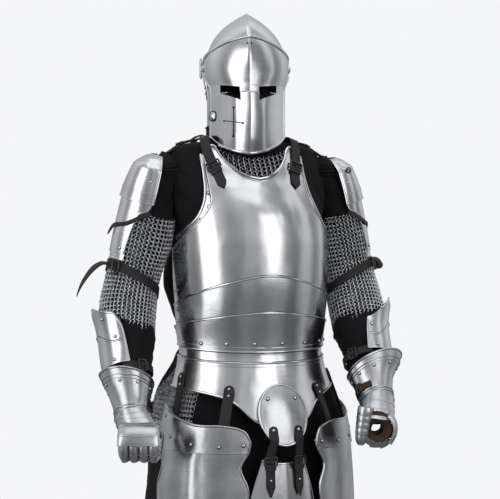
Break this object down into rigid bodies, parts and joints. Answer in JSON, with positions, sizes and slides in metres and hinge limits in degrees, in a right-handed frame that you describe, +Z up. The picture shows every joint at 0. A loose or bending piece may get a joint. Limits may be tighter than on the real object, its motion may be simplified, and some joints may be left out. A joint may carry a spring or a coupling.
{
  "type": "suit of plate armour",
  "caption": "Worn plate armour without legs: closed helmet with hinged visor, cuirass, fauld, hip guards, arm plates, gauntlets, mail and straps over a black padded coat.",
  "frame": {"origin": "base of the neck, midway between the shoulders", "axes": "+Z up, -Y the wearer's front, +X the wearer's left"},
  "size_m": [0.7183, 0.428, 1.1937],
  "materials": {
    "steel": "polished with soft brushing",
    "mail": "dull riveted rings",
    "black_cloth": "matt cotton",
    "black_leather": "satin, worn",
    "brown_leather": "matt suede-like"
  },
  "bodies": {
    "suit": {"helmet_skull": "steel", "coat_front": "black_cloth", "coat_skirt_front": "black_cloth", "coat_back": "black_cloth", "coat_skirt_back": "black_cloth", "coat_sleeve_R": "black_cloth", "coat_sleeve_L": "black_cloth", "coat_collar": "black_cloth", "mail_collar": "mail", "mail_hip_R": "mail", "mail_sleeve_R": "mail", "mail_hip_L": "mail", "mail_sleeve_L": "mail", "breastplate": "steel", "gusset_R": "steel", "gusset_L": "steel", "belly_lame": "steel", "plackart": "steel", "waist_lame": "steel", "fauld": "steel", "fauld_disc": "steel", "cod_plate": "steel", "tasset_upper_R": "steel", "tasset_R": "steel", "tasset_upper_L": "steel", "tasset_L": "steel", "spaulder_R": "steel", "arm_plate_R": "steel", "arm_lame_R": "steel", "vambrace_R": "steel", "gauntlet_cuff_R": "steel", "glove_R": "brown_leather", "hand_plate_R": "steel", "finger_plates_R": "steel", "spaulder_L": "steel", "arm_plate_L": "steel", "arm_lame_L": "steel", "vambrace_L": "steel", "gauntlet_cuff_L": "steel", "glove_L": "brown_leather", "hand_plate_L": "steel", "finger_plates_L": "steel", "shoulder_strap_R": "black_leather", "spaulder_strap_R": "black_leather", "shoulder_strap_L": "black_leather", "spaulder_strap_L": "black_leather", "waist_strap": "black_leather", "tasset_strap_outer_R": "black_leather", "tasset_strap_inner_R": "black_leather", "cod_strap_R": "black_leather", "tasset_strap_outer_L": "black_leather", "tasset_strap_inner_L": "black_leather", "cod_strap_L": "black_leather", "arm_strap_R": "black_leather", "arm_strap_L": "black_leather"},
    "visor": {"visor": "steel", "visor_pin_R": "steel", "visor_pin_L": "steel", "visor_latch": "steel"}
  },
  "joints": [
    {"name": "visor_hinge", "type": "hinge", "parent": "suit", "child": "visor", "pos_m": [-0.009, 0.003, 0.165], "axis": [-0.9744, 0.225, 0], "range_deg": [0, 65]}
  ]
}
